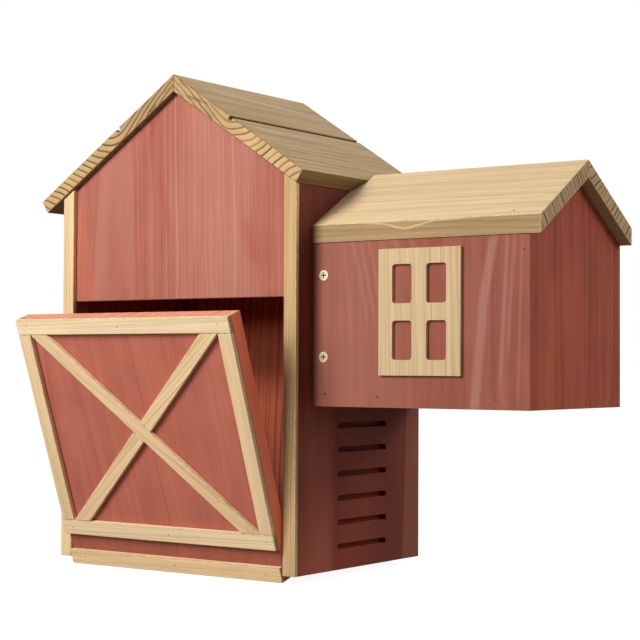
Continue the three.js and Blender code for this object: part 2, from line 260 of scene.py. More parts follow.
# How dark a year's line is from the year's start, at 0, to its end, at 1
SOFT_LINE = [(0.0, 0.15), (0.2, 0.0), (0.55, 0.2), (0.85, 1.0), (0.95, 0.75), (1.0, 0.15)]
END_LINE = [(0.0, 0.15), (0.1, 0.0), (0.64, 0.12), (0.8, 1.0), (0.94, 0.95), (1.0, 0.15)]
FINE_LINE = [(0.0, 0.12), (0.12, 0.0), (0.72, 0.12), (0.88, 1.0), (0.94, 0.9), (1.0, 0.12)]


def figure_group():
    """Rings and fibres in a board's own frame, in mm: X along the fibres, Y across, Z out of it."""
    group = bpy.data.node_groups.new("wood_figure", "ShaderNodeTree")
    face = group.interface
    for name in ("Vector", "Pith"):
        face.new_socket(name, in_out="INPUT", socket_type="NodeSocketVector")
    for name in ("Spacing", "Taper", "Wander", "Seed"):
        face.new_socket(name, in_out="INPUT", socket_type="NodeSocketFloat")
    for name in ("Years", "Fibre", "Streak", "Band"):
        face.new_socket(name, in_out="OUTPUT", socket_type="NodeSocketFloat")
    t = Tree(group)
    give = t.add("NodeGroupInput").outputs
    take = t.add("NodeGroupOutput").inputs
    seed = t.add("ShaderNodeCombineXYZ", {axis: give["Seed"] for axis in "XYZ"}).outputs[0]
    place = t.vec("ADD", give["Vector"], t.scaled(seed, SEED_STEP))

    def varied(scale, detail, rough):
        return t.noise(t.scaled(place, scale), detail=detail, rough=rough)

    # The trunk isn't straight: the rings drift slowly along the fibres
    radius = t.vec("LENGTH", t.scaled(t.vec("SUBTRACT", give["Vector"], give["Pith"]), (0, 1, 1)))
    radius = t.plus(radius, t.times(t.split(give["Vector"])["X"], give["Taper"]))
    radius = t.plus(radius, t.times(t.minus(varied(DRIFT, 1.0, 0.4), 0.5), give["Wander"]))
    radius = t.plus(radius, t.times(t.minus(varied(RIPPLE, 1.0, 0.5), 0.5), RIPPLE_DEPTH))
    years = t.plus(t.math("DIVIDE", radius, give["Spacing"]), t.times(give["Seed"], SEED_YEARS))
    # Good and lean years
    lean = t.times(t.noise(years, scale=0.45, detail=1.0, dims="1D"), LEAN_YEARS)
    t.put(take["Years"], t.plus(years, lean))
    # Fibres are fine lines that run on for centimetres
    t.put(take["Fibre"], varied(FIBRE, 4.0, 0.6))
    t.put(take["Streak"], varied(STREAK, 3.0, 0.6))
    t.put(take["Band"], varied(BAND, 2.0, 0.5))
    return group


FIGURE = figure_group()


def slab_years(t, vector, knee, ridge_rate, eave_rate, seed):
    """Ring number in a roof board, whose rings are ski-shaped curves on its end.

    The rings run along the board above the knee and cross it below. The rates are rings per mm.
    """
    parts = t.split(vector)
    seeded = t.vec("ADD", vector, tuple(seed * step for step in SLAB_SEED_STEP))
    wave = t.minus(t.noise(t.scaled(seeded, SLAB_WAVE), detail=1.0), 0.5)
    down = t.minus(parts["Y"], knee)
    bend = t.math("SQRT", t.plus(t.times(down, down), KNEE_BEND))
    top = t.plus(t.times(down, (eave_rate - ridge_rate) / 2),
                 t.times(bend, (eave_rate + ridge_rate) / 2))
    depth_rate = t.span(down, *KNEE_REACH, *RINGS_DOWN)
    years = t.plus(top, t.times(parts["Z"], -1.0, depth_rate))
    return t.plus(years, t.times(wave, SLAB_WAVE_YEARS))


class Board:
    """How a board lies and grew.

    origin, grain, face: a point on its face, the way its fibres run, the way its face looks
    pith: the rings' middle, across the board and out of its face, in mm
    spacing: mm per year
    wander: how far the rings drift along the fibres, in mm
    slab: knee, ridge rate and eave rate, for rings as in slab_years
    """

    def __init__(self, origin, grain, face, pith=(20, -60), spacing=3.2, *,
                 seed, wander=8.0, slab=None):
        self.origin = Vector(origin)
        self.grain = Vector(grain).normalized()
        self.face = Vector(face).normalized()
        self.across = self.face.cross(self.grain).normalized()
        self.pith = pith
        self.spacing = spacing
        self.wander = wander
        self.seed = seed
        self.slab = slab

    def coordinates(self, t):
        """The point in the board's own frame, in mm."""
        turn = Matrix((self.grain, self.across, self.face))
        shifted = t.vec("SUBTRACT", t.coordinate("Object"), tuple(self.origin))
        turned = t.add("ShaderNodeMapping", {"Vector": shifted, "Rotation": turn.to_euler()})
        return t.scaled(turned.outputs["Vector"], (1 / MM, 1 / MM, 1 / MM))

    def figure(self, t, vector):
        outs = t.add("ShaderNodeGroup", {
            "Vector": vector, "Pith": (0, *self.pith), "Spacing": self.spacing,
            "Taper": TAPER, "Wander": self.wander, "Seed": self.seed}, node_tree=FIGURE).outputs
        years = slab_years(t, vector, *self.slab, self.seed) if self.slab else outs["Years"]
        # Each year's line has a strength of its own
        year = t.plus(t.math("FLOOR", years), self.seed)
        strength = t.noise(year, scale=1.7, detail=0.0, dims="1D")
        strength = t.span(strength, *NARROW, WEAKEST, 1.0)
        return {"part": t.math("FRACT", years), "strength": strength,
                "fibre": outs["Fibre"], "streak": outs["Streak"], "band": outs["Band"]}


def looks(t, way):
    """1 on the faces that look along the way or against it."""
    facing = t.vec("DOT_PRODUCT", t.coordinate("Normal"), tuple(way))
    return t.span(t.math("ABSOLUTE", facing), *LOOKING)


def streak(t, along, across, path, width, soft):
    """A streak that follows a path of (along, across) points and fades out beyond both its ends."""
    reach = 500.0  # the ramp holds distances across up to half of this
    low, high = path[0][0], path[-1][0]
    stops = [((a - low) / (high - low), 0.5 + c / reach) for a, c in path]
    middle = t.times(t.minus(t.ramp(t.span(along, low, high), stops), 0.5), reach)
    away = t.math("ABSOLUTE", t.minus(across, middle))
    side = t.span(away, width / 2 + soft, width / 2 - soft)
    start = t.span(along, low - STREAK_FADE, low + STREAK_FULL)
    end = t.span(along, high + STREAK_FADE, high - STREAK_FULL)
    return t.times(side, start, end)


def with_streaks(t, colour, along, across, fig, streaks, tint):
    """The colour with streaks over it, each given as (path, width, softness, colour, strength)."""
    for path, width, soft, shade, strength in streaks:
        covered = streak(t, along, across, path, width, soft)
        whole = t.span(fig["streak"], 0.3, 0.6, STREAK_BREAK * strength, strength)
        colour = t.mix(t.times(covered, whole), colour, srgb(shade, tint))
    return colour


def finish_wood(t, shader, board, fig, side, cut, rough, specular, relief):
    """Puts long grain on the sides and end grain on the cuts, in low relief."""
    t.put(shader.inputs["Base Color"], t.mix(looks(t, board.grain), side, cut))
    t.put(shader.inputs["Roughness"], t.span(fig["fibre"], *WIDE, *rough))
    shader.inputs["Specular IOR Level"].default_value = specular
    lines = t.times(t.ramp(fig["part"], SOFT_LINE), LINE_HEIGHT)
    height = t.plus(t.times(fig["fibre"], FIBRE_HEIGHT), lines)
    settings = {"Strength": relief, "Distance": RELIEF_HEIGHT, "Height": height}
    t.put(shader.inputs["Normal"], t.add("ShaderNodeBump", settings).outputs[0])


# Bare pine

PINE_BAND = 0.12  # how much darker the dark bands are
END_LIGHT = (228, 196, 146)
END_CONTRAST = 0.9


def with_kerf_shade(t, side, parts, middle):
    """The saw's kerf is painted dark within, as shade, and its rims are painted dark brown."""
    off = t.math("ABSOLUTE", t.minus(parts["Y"], middle))
    above = t.span(parts["Z"], -KERF_DEPTH - 0.4, -KERF_DEPTH - 0.2)
    rim = t.times(t.span(off, KERF_HALF + 1.8, KERF_HALF + 1.0), above)
    side = t.mix(t.times(rim, 0.75), side, srgb((84, 54, 32)))
    # Painted shade: the kerf's inside is near black
    below = t.span(parts["Z"], -0.15, -0.5)
    inside = t.times(t.span(off, KERF_HALF + 0.15, KERF_HALF - 0.05), below, above)
    return t.mix(t.times(inside, 0.9), side, srgb((44, 28, 16)))


def with_dirt(t, cut, vector, parts, strength):
    """A roof's end is darker towards the ridge, and has blotches of dirt there."""
    cut = t.shaded(cut, t.span(parts["Y"], 66.0, 92.0), 0.84, 1.0)
    blotch = t.span(t.noise(t.scaled(vector, BLOTCH), detail=1.0), 0.56, 0.66)
    near = t.times(t.span(parts["Y"], 60.0, 40.0), t.span(parts["Y"], 8.0, 20.0))
    return t.mix(t.times(blotch, near, strength), cut, srgb((70, 52, 36)))


def pine(name, board, light=(232, 203, 157), line=(178, 134, 84), end_line=(84, 54, 28),
         tint=(1, 1, 1), edge_tint=None, end_tint=(1, 1, 1), crumbly=0.86, contrast=0.5, fibre=0.5,
         grainy=0.1, streaks=(), edge_streaks=(), groove=None, darkening=0.0, underside_shade=None):
    """Bare pine.

    crumbly: how dark the specks in the end grain are, as a factor
    groove: where the kerf's middle lies across the board, in mm
    underside_shade: the underside's tint, which paints shade on it
    """
    material, t, shader = new_material(name)
    vector = board.coordinates(t)
    parts = t.split(vector)
    fig = board.figure(t, vector)
    lines = t.times(t.ramp(fig["part"], SOFT_LINE), fig["strength"])
    side = t.mix(t.times(lines, contrast), srgb(light, tint), srgb(line, tint))
    side = t.shaded(side, t.span(fig["band"], *NARROW), 1.0, 1.0 - PINE_BAND)
    side = t.shaded(side, t.span(fig["streak"], *WIDE), 1.0 - grainy, 1.0 + grainy)
    dashes = t.span(fig["fibre"], *DASHES)
    side = t.mix(t.times(dashes, fibre), side, srgb(line, tint))
    side = with_streaks(t, side, parts["X"], parts["Y"], fig, streaks, tint)
    # On the roofs, the only pine that sets it, this tint darkens the eaves' cut faces and the
    # fascia, as painted shade
    if edge_tint:
        grit = t.span(t.noise(vector, scale=0.9, detail=3.0, rough=0.7), *WIDE)
        edge = t.mix(1.0, side, t.shaded((*edge_tint, 1.0), grit, 0.9, 1.1), "MULTIPLY")
        edge = with_streaks(t, edge, parts["X"], parts["Z"], fig, edge_streaks, tint)
        side = t.mix(looks(t, board.across), side, edge)
    if groove:
        side = with_kerf_shade(t, side, parts, groove)
    # Painted shade: the board's underside is tinted darker
    if underside_shade:
        side = t.mix(t.span(parts["Z"], 0.6 - BOARD, 0.2 - BOARD), side, t.tinted(side, underside_shade))
    speck = t.span(t.noise(vector, scale=1.3, detail=3.0, rough=0.6), *WIDE)
    cut = t.shaded(srgb(END_LIGHT, end_tint), speck, 1.0, crumbly)
    cut = t.shaded(cut, t.span(t.noise(vector, scale=0.05), *NARROW), 1.04, 0.9)
    cuts = t.times(t.ramp(fig["part"], END_LINE), t.span(fig["strength"], WEAKEST, 1.0, 0.6, 1.0))
    cut = t.mix(t.times(cuts, END_CONTRAST), cut, srgb(end_line))
    if darkening:
        cut = with_dirt(t, cut, vector, parts, darkening)
    finish_wood(t, shader, board, fig, side, cut, rough=(0.66, 0.8), specular=0.05, relief=0.25)
    return material


# Stained pine

def inside_cuts(t, parts):
    """1 within what is cut into the wall: not on its faces, and not on its own edges."""
    below = t.span(parts["Z"], -0.3, -1.2)
    above = t.span(parts["Z"], 0.4 - BOARD, 1.0 - BOARD)
    within = t.span(t.math("ABSOLUTE", parts["Y"]), 78.0, 74.0)
    return t.times(below, above, within, t.span(parts["X"], 6.0, 9.0))


def stained(name, board, base, deep, streak_colour, contrast=0.5, fibre=0.3,
            end_base=(196, 96, 74), end_line=(120, 52, 38), tint=(1, 1, 1), edge_tint=None,
            fine=False, streaks=(), painted_shade=None, inside=None, recess=None):
    """Pine with a red stain that shows the grain.

    painted_shade: where a painted shade starts and ends along the board, in mm, and how dark it
    ends
    inside: the inner face's colour, painted bright as light, and its lines' colour
    recess: colours within what is cut into the board, beside the fibres a dark one, painted as
    shade, and at their ends a lighter one
    """
    material, t, shader = new_material(name)
    vector = board.coordinates(t)
    parts = t.split(vector)
    fig = board.figure(t, vector)
    side = t.mix(t.span(fig["band"], *NARROW), srgb(base, tint), srgb(deep, tint))
    side = t.shaded(side, t.span(fig["streak"], *WIDE), 0.94, 1.06)
    lines = t.times(t.ramp(fig["part"], FINE_LINE if fine else SOFT_LINE), fig["strength"])
    side = t.mix(t.times(lines, contrast), side, srgb(streak_colour, tint))
    dashes = t.span(fig["fibre"], *DASHES)
    side = t.mix(t.times(dashes, fibre), side, srgb(deep, tint))
    side = t.shaded(side, t.span(t.noise(vector, scale=0.02), *NARROW), 0.94, 1.06)
    side = with_streaks(t, side, parts["X"], parts["Y"], fig, streaks, tint)
    if inside:
        # The inner face, painted bright as light that reaches inside, with a stronger figure
        colour, line = (srgb(shade) for shade in inside)
        grain = t.mix(t.times(lines, 0.75), colour, line)
        grain = t.mix(t.times(dashes, 0.5), grain, line)
        side = t.mix(t.span(parts["Z"], 1.0 - BOARD, 0.4 - BOARD), side, grain)
    if edge_tint:
        side = t.mix(looks(t, board.across), side, t.tinted(side, edge_tint))
    # Painted shade: the board grows darker along its length
    if painted_shade:
        start, end, shade = painted_shade
        side = t.shaded(side, t.span(parts["X"], start, end), 1.0, shade)
    cuts = t.times(t.ramp(fig["part"], FINE_LINE), 0.6)
    cut = t.mix(cuts, srgb(end_base, tint), srgb(end_line, tint))
    if recess:
        # Cut after the staining: bare wood; its floor and end walls are painted dark, as shade
        sunk = inside_cuts(t, parts)
        rough = t.span(t.noise(vector, scale=1.1, rough=0.6), *WIDE)
        side = t.mix(sunk, side, t.shaded(srgb(recess[0]), rough, 0.8, 1.2))
        cut = t.mix(sunk, cut, t.shaded(srgb(recess[1]), rough, 0.75, 1.15))
    finish_wood(t, shader, board, fig, side, cut, rough=(0.52, 0.66), specular=0.04, relief=0.15)
    return material


# Worn edges and screws

def worn_edge(name, colour, darker):
    material, t, shader = new_material(name)
    wear = t.noise(t.coordinate("Object"), scale=260.0, detail=3.0, rough=0.6)
    t.put(shader.inputs["Base Color"], t.mix(t.span(wear, *NARROW), srgb(colour), srgb(darker)))
    t.put(shader.inputs["Roughness"], t.span(wear, *WIDE, 0.6, 0.8))
    shader.inputs["Specular IOR Level"].default_value = 0.05
    return material


def brass(name, face, inward):
    """Plated steel. The cross recess, inward of the head's face, is painted dark, as shade."""
    material, t, shader = new_material(name)
    place = t.coordinate("Object")
    blotch = t.noise(place, scale=900.0, detail=3.0, rough=0.6)
    clean = t.mix(t.span(blotch, *WIDE), srgb((255, 238, 196)), srgb((240, 212, 156)))
    depth = t.times(t.minus(t.split(place)["Y"], face), inward)
    # Painted shade: the cross recess is darker the deeper it lies
    darkening = t.span(depth, 0.08 * MM, 0.3 * MM)
    t.put(shader.inputs["Base Color"], t.mix(darkening, clean, srgb((30, 18, 10))))
    t.put(shader.inputs["Metallic"], t.span(darkening, 0.0, 1.0, 0.2, 0.0))
    t.put(shader.inputs["Roughness"], t.span(blotch, *WIDE, 0.3, 0.45))
    return material


# The looks of the stained boards

RED = dict(base=(186, 106, 88), deep=(176, 90, 72), streak_colour=(206, 144, 126))
# The back panel's inner face is painted much brighter, as light reaching inside the barn
BACK_RED = dict(RED, inside=((246, 134, 98), (166, 64, 42)))
GABLE_RED = dict(RED, contrast=0.6, fine=True, tint=(0.92, 1.06, 1.08), streaks=(
    ([(-10, 74), (180, 74)], 56, 12, (188, 110, 93), 0.55),
    ([(-10, -48), (180, -40)], 80, 26, (210, 142, 124), 0.4),
    ([(0, 100), (44, 107), (75, 117)], 20, 0.8, (206, 108, 84), 0.55),
    ([(134, 31), (160, 19.5)], 4, 2.5, (178, 76, 62), 0.6),
    ([(59, 9.7), (100, 18)], 6, 3, (178, 76, 62), 0.5),
    ([(30, -80), (58, -74)], 11, 5, (182, 78, 64), 0.5),
))
# The hatch panel is painted darker at its foot, below its bottom rail, as shade
HATCH_RED = dict(
    base=(180, 92, 72), deep=(174, 86, 67), streak_colour=(148, 68, 54), contrast=0.32, fine=True,
    tint=(1.15, 1.5, 1.66), edge_tint=(2.15, 1.85, 1.5), end_base=(232, 138, 104),
    end_line=(120, 62, 48), painted_shade=(20, 13, 0.77))
PALE = (190, 122, 104)
ANNEXE_RED = dict(
    base=(170, 92, 74), deep=(158, 82, 65), streak_colour=(184, 112, 94), contrast=0.3,
    tint=(0.9, 1.08, 1.13), edge_tint=(0.88, 0.6, 0.46))
ANNEXE_FRONT_RED = dict(ANNEXE_RED, streaks=(
    # This broad pale patch on the wall's left part is partly the board's own tone and partly
    # painted light
    ([(-20, -38), (150, -38)], 66, 34, (182, 110, 91), 0.62),
    ([(0, -147), (81, -154.5), (128, -162.7)], 7.5, 1.6, PALE, 0.85),
    ([(20, -168.5), (81, -172), (128, -174.5)], 2.8, 1.2, PALE, 0.7),
    ([(50, -175.5), (66, -176), (128, -180.3)], 2.6, 1.2, PALE, 0.6),
    ([(10, -183.5), (66, -185), (126, -186.5)], 1.8, 1.0, PALE, 0.5),
    ([(73, -50.4), (106, -43.7), (126, -38)], 2.4, 1.2, PALE, 0.5),
    ([(71, -57.8), (102, -51.2), (126, -45.5)], 2.4, 1.2, PALE, 0.55),
    ([(83, -62.4), (110, -57.6), (128, -52.9)], 2.4, 1.2, PALE, 0.5),
    ([(56, -36.4), (83, -34.4), (122, -29.5)], 2.2, 1.2, PALE, 0.35),
    ([(112, -70), (132, -62)], 3.4, 1.6, PALE, 0.4),
    ([(114, -84), (134, -74)], 3.4, 1.6, PALE, 0.45),
    ([(114, -99), (134, -88)], 4.0, 1.8, PALE, 0.45),
))
END_RED = dict(
    base=(172, 81, 61), deep=(156, 70, 52), streak_colour=(112, 50, 38), contrast=0.78, fibre=0.42,
    tint=(0.99, 1.08, 1.04), streaks=(
        ([(-10, 45), (90, 40)], 22, 10, (190, 92, 64), 0.5),
        ([(-10, 8), (110, 6)], 14, 8, (190, 92, 64), 0.35),
        ([(-10, 74), (170, 76)], 12, 6, (120, 50, 38), 0.55),
    ))
DARK_RED = dict(base=(160, 76, 58), deep=(146, 66, 50), streak_colour=(128, 58, 44), contrast=0.4)
# The right wall is painted darker from 105 mm up to 150 mm and above, as shade beside the annexe
RIGHT_RED = dict(
    DARK_RED, tint=(0.91, 1.11, 1.19), edge_tint=(1.5, 1.35, 1.2), painted_shade=(105, 150, 0.52),
    # Within the climbing grooves the dark colour is painted shade
    recess=((96, 32, 14), (180, 78, 36)), streaks=(
        ([(-10, -10), (150, -17)], 107, 1.4, (122, 52, 37), 1.0),
        ([(-10, 22), (150, 18)], 40, 14, (152, 66, 47), 0.6),
        ([(-10, -42), (150, -48)], 40, 14, (102, 43, 31), 0.6),
        ([(-10, 60), (150, 60)], 34, 6, (192, 95, 74), 0.45),
        # This darker band at the wall's back is painted shade
        ([(-10, -77), (150, -84)], 27, 1.0, (136, 73, 54), 1.0),
    ))

STAINED = {
    "left_wall": (Board((-BARN_SIDE, 0, 0), Z, -X, (20, -60), 3.4, seed=2.1), RED),
    "right_wall": (Board((BARN_SIDE, 0, 0), Z, X, (-60, -70), 4.4, seed=3.3), RIGHT_RED),
    "back_panel": (Board((0, BARN_END, 0), Z, Y, (30, -70), 3.6, seed=4.7), BACK_RED),
    "floor": (Board((0, 0, FLOOR_TOP), X, Z, (20, -50), 3.4, seed=5.9), DARK_RED),
    "gable_panel": (
        Board((0, -BARN_END, GABLE_BASE), Z, -Y, (70, -60), 2.8, wander=5.0, seed=6.2), GABLE_RED),
    "annexe_front_wall": (
        Board((BARN_SIDE, ANNEXE_FRONT, ANNEXE_BASE), Z, -Y, (-80, -50), 5.5, seed=7.4),
        ANNEXE_FRONT_RED),
    "annexe_back_wall": (
        Board((BARN_SIDE, ANNEXE_BACK, ANNEXE_BASE), Z, Y, (60, -50), 3.6, seed=8.8), ANNEXE_RED),
    "annexe_end_wall": (
        Board((ANNEXE_END, ANNEXE_MIDDLE, ANNEXE_BASE), Z, X, (120, -30), 2.7, wander=3.0,
              seed=9.3),
        END_RED),
    "annexe_floor": (
        Board((BARN_SIDE, ANNEXE_MIDDLE, ANNEXE_FLOOR_TOP), X, Z, (20, -60), 3.4, seed=10.6),
        DARK_RED),
    "door_panel": (
        Board(hatch_point(0, PANEL_FACE, 0), HATCH_UP, -HATCH_IN, (80, -50), 4.2, wander=4.0,
              seed=11.1),
        HATCH_RED),
}

# The looks of the bare boards

GLEAM = (250, 228, 190)
# The barn roof's undersides and eave faces are painted darker, as shade
ROOF = dict(
    light=(214, 184, 140), line=(172, 134, 92), contrast=0.6, grainy=0.2,
    tint=(0.755, 0.75, 0.755), edge_tint=(0.5, 0.45, 0.36), end_tint=(0.96, 0.89, 0.81),
    groove=73.3, darkening=0.45, underside_shade=(0.55, 0.52, 0.42), streaks=(
        ([(-86, 6), (84, 7)], 5, 3, GLEAM, 0.35),
        ([(-76, 33), (60, 20)], 6, 3, GLEAM, 0.4),
        ([(-80, 96), (70, 88)], 6, 4, GLEAM, 0.3),
    ))
LEFT_ROOF = dict(ROOF, end_tint=(0.86, 0.78, 0.68))
# The annexe roof's undersides and fascia are painted darker and browner, as shade
ANNEXE_ROOF = dict(
    tint=(1.08, 1.08, 1.11), edge_tint=(0.49, 0.42, 0.33), end_tint=(0.69, 0.64, 0.59),
    end_line=(66, 42, 22), underside_shade=(0.5, 0.44, 0.36))
FRONT_ROOF = dict(ANNEXE_ROOF, contrast=0.34, grainy=0.1, fibre=0.55, edge_streaks=(
    ([(52, -0.5), (66, -1.3), (73, -2.5), (80, -4.4), (86, -5.2), (92, -4.6), (98, -3.4),
      (106, -1.9), (113, -0.6), (135, -0.2)], 0.9, 0.6, (250, 220, 170), 0.75),
    ([(74, -1.2), (86, -2.2), (104, -0.9)], 2.6, 0.8, (196, 156, 104), 0.5),
))
BACK_ROOF = dict(ANNEXE_ROOF, contrast=0.4, grainy=0.07)
TRIM = dict(light=(250, 226, 184), line=(204, 160, 110), tint=(1.05, 1.02, 1.0), crumbly=0.55,
            grainy=0.08)
BASE_TRIM = dict(TRIM, tint=(1.01, 0.9, 0.76))
STILE = dict(TRIM, tint=(0.97, 0.88, 0.79))
BRACE = dict(TRIM, tint=(0.97, 0.87, 0.77), contrast=0.85)
# The right post's pine is painted darker and browner, as the shade the door casts on it
POST = dict(tint=(0.84, 0.755, 0.635))
# The left post's pine is painted lighter, as light where the hatch shades it
LEFT_POST = dict(tint=(1.13, 1.09, 1.04))
WINDOW = dict(tint=(0.975, 0.97, 0.985), contrast=0.55, grainy=0.1, fibre=0.4)
PLAIN = {}


def trim_board(x, z, grain, pith, spacing, seed):
    """A trim on the hatch, through the point x mm right and z mm up from the pivot."""
    return Board(hatch_point(x, PANEL_FACE, z), grain, -HATCH_IN, pith, spacing, wander=2.5,
                 seed=seed)


PINE = {
    "left_corner_post": (
        Board((-POST_MIDDLE, POST_FACE, 0), Z, -Y, (30, -40), 2.6, seed=12.3), LEFT_POST),
    "right_corner_post": (
        Board((POST_MIDDLE, POST_FACE, 0), Z, -Y, (-30, -40), 2.6, seed=13.9), POST),
    "roof_left": (Board(BARN_RIDGE, Y, LEFT_FACE, seed=14.2, slab=(77, 0.055, 0.15)), LEFT_ROOF),
    "roof_right": (Board(BARN_RIDGE, -Y, RIGHT_FACE, seed=15.8, slab=(73, 0.055, 0.15)), ROOF),
    "left_door_pin": (Board(PIVOT - X * PIN_PLACE, X, Z, (10, -10), 2.0, seed=16.4), PLAIN),
    "right_door_pin": (Board(PIVOT + X * PIN_PLACE, X, Z, (10, -10), 2.0, seed=17.4), PLAIN),
    "annexe_roof_front": (
        Board(ANNEXE_RIDGE, X, FRONT_FACE, (-135, -12), 4.2, wander=4.0, seed=18.1), FRONT_ROOF),
    "annexe_roof_back": (Board(ANNEXE_RIDGE, X, BACK_FACE, (-30, 24), 5.0, seed=19.6), BACK_ROOF),
    "window_frame": (
        Board((WINDOW_MIDDLE, ANNEXE_FRONT, WINDOW_BASE), Z, -Y, (90, -20), 2.0, seed=20.5),
        WINDOW),
    "front_cleat": (
        Board((CLEAT_MIDDLE, -0.05, CLEAT_BASE), Z, -Y, (20, -30), 2.6, seed=21.7), PLAIN),
    "back_cleat": (
        Board((CLEAT_MIDDLE, 0.06, CLEAT_BASE), Z, Y, (20, -30), 2.6, seed=22.8), PLAIN),
    "door_top_rail": (trim_board(0, 202, X, (110, -25), 2.0, 23.4), TRIM),
    "door_bottom_rail": (trim_board(0, 24, X, (100, -30), 2.0, 24.9), TRIM),
    "door_left_stile": (trim_board(-105, 100, HATCH_UP, (120, -20), 2.0, 25.2), STILE),
    "door_right_stile": (trim_board(105, 100, HATCH_UP, (-110, -25), 2.0, 26.7), STILE),
    "door_base_trim": (trim_board(0, -4, X, (110, -30), 2.2, 27.3), BASE_TRIM),
    "door_long_brace": (trim_board(0, 113, DOWN_RIGHT, (95, -25), 2.3, 28.1), BRACE),
    "door_upper_brace": (trim_board(0, 113, UP_RIGHT, (-95, -25), 2.3, 29.8), BRACE),
    "door_lower_brace": (trim_board(0, 113, UP_RIGHT, (85, -20), 2.3, 31.2), BRACE),
}

# Each screw's face along Y, and which way is inward
SCREWS = {
    "front_upper_screw": (ANNEXE_FRONT, 1.0), "front_lower_screw": (ANNEXE_FRONT, 1.0),
    "back_upper_screw": (ANNEXE_BACK, -1.0), "back_lower_screw": (ANNEXE_BACK, -1.0),
}

PINE_EDGE = worn_edge("pine_edge", (236, 212, 170), (206, 172, 124))
ROOF_EDGE = worn_edge("roof_edge", (176, 142, 98), (132, 98, 62))
STAIN_EDGE = worn_edge("stain_edge", (196, 116, 94), (172, 90, 70))


def dress(node, *materials):
    slots = nodes[node].data.materials
    slots.clear()
    for material in materials:
        slots.append(material)


for node, (board, look) in STAINED.items():
    dress(node, stained("stain_" + node, board, **look), STAIN_EDGE)
for node, (board, look) in PINE.items():
    dress(node, pine("pine_" + node, board, **look), ROOF_EDGE if "groove" in look else PINE_EDGE)
for node, (face, inward) in SCREWS.items():
    dress(node, brass("brass_" + node, face, inward))


# Eased edges

WELD_DISTANCE = 0.01 * MM
FLAT_ANGLE = math.radians(0.5)
EDGE_ANGLE = math.radians(28)
BOARD_EASE = 0.6 * MM
PIN_EASE = 0.2 * MM
SCREW_EASE = 0.1 * MM


def weld_group():
    """Joins the solids' loose faces, so that their edges can be eased."""
    group = bpy.data.node_groups.new("weld", "GeometryNodeTree")
    for way in ("INPUT", "OUTPUT"):
        group.interface.new_socket("Geometry", in_out=way, socket_type="NodeSocketGeometry")
    t = Tree(group)
    shape = t.add("NodeGroupInput").outputs[0]
    for kind, settings in (
            ("GeometryNodeRemoveAttribute", {"Name": "custom_normal"}),
            ("GeometryNodeMergeByDistance", {"Distance": WELD_DISTANCE}),
            ("GeometryNodeSetShadeSmooth", {})):
        shape = t.add(kind, {"Geometry": shape, **settings}).outputs[0]
    t.put(t.add("NodeGroupOutput").inputs[0], shape)
    return group


WELD = weld_group()


def ease(obj, width, segments, material):
    """Rounds the edges. Material is the slot that the rounding shows, or -1 for its neighbour's."""
    weld = obj.modifiers.new("weld", "NODES")
    weld.node_group = WELD
    flat = obj.modifiers.new("flat", "DECIMATE")
    flat.decimate_type = "DISSOLVE"
    flat.angle_limit = FLAT_ANGLE
    bevel = obj.modifiers.new("ease", "BEVEL")
    bevel.width = width
    bevel.segments = segments
    bevel.limit_method = "ANGLE"
    bevel.angle_limit = EDGE_ANGLE
    bevel.harden_normals = True
    bevel.material = material


for node in [*STAINED, *PINE]:
    ease(nodes[node], PIN_EASE if node.endswith("pin") else BOARD_EASE, 2, 1)
for node in SCREWS:
    ease(nodes[node], SCREW_EASE, 1, -1)


# Brads: the heads of small nails, drawn a hair above the wood, each in a dark crushed rim

def plain_dark(name, light, dark, rough):
    material, t, shader = new_material(name)
    grain = t.span(t.noise(t.coordinate("Object"), scale=2500.0), *WIDE)
    t.put(shader.inputs["Base Color"], t.mix(grain, srgb(light), srgb(dark)))
    shader.inputs["Roughness"].default_value = rough
    return material


RIM = plain_dark("brad_rim", (84, 42, 26), (52, 26, 18), 0.8)
HEAD = plain_dark("brad_head", (74, 56, 44), (40, 28, 22), 0.6)
BRAD_TURNS = 14
BRAD_PROFILE = [(0.95, 0.005), (0.75, 0.05), (0.62, 0.02), (0.55, 0.06), (0.3, 0.09)]  # mm
BRAD_TIP = 0.1  # mm
RIM_RINGS = 2
HATCH_BRAD_SIZE = 0.55


def on_face(corner, first, second, normal, places):
    """Points on a flat face, given in mm along two ways from a corner, and the way it looks."""
    return [(corner + first * (a * MM) + second * (b * MM), normal) for a, b in places]


def brads(name, body, places, size=1.0):
    """One piece with a brad at each place, given as a point on a face and the way it looks."""
    points, faces, look = [], [], []
    for point, normal in places:
        side = normal.orthogonal().normalized()
        other = normal.cross(side)
        first = len(points)
        for radius, height in BRAD_PROFILE:
            for turn in range(BRAD_TURNS):
                angle = turn * math.tau / BRAD_TURNS
                way = side * math.cos(angle) + other * math.sin(angle)
                points.append(point + way * (radius * size * MM) + normal * (height * MM))
        tip = len(points)
        points.append(point + normal * (BRAD_TIP * MM))
        for ring in range(len(BRAD_PROFILE) - 1):
            for turn in range(BRAD_TURNS):
                a = first + ring * BRAD_TURNS + turn
                b = first + ring * BRAD_TURNS + (turn + 1) % BRAD_TURNS
                faces.append((a, b, b + BRAD_TURNS, a + BRAD_TURNS))
                look.append(0 if ring < RIM_RINGS else 1)
        last = tip - BRAD_TURNS
        for turn in range(BRAD_TURNS):
            faces.append((last + turn, last + (turn + 1) % BRAD_TURNS, tip))
            look.append(1)
    mesh = bpy.data.meshes.new(name)
    mesh.from_pydata([tuple(p) for p in points], [], faces)
    mesh.materials.append(RIM)
    mesh.materials.append(HEAD)
    mesh.polygons.foreach_set("material_index", look)
    mesh.shade_smooth()
    piece = bpy.data.objects.new(name, mesh)
    bpy.context.scene.collection.objects.link(piece)
    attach(piece, body)


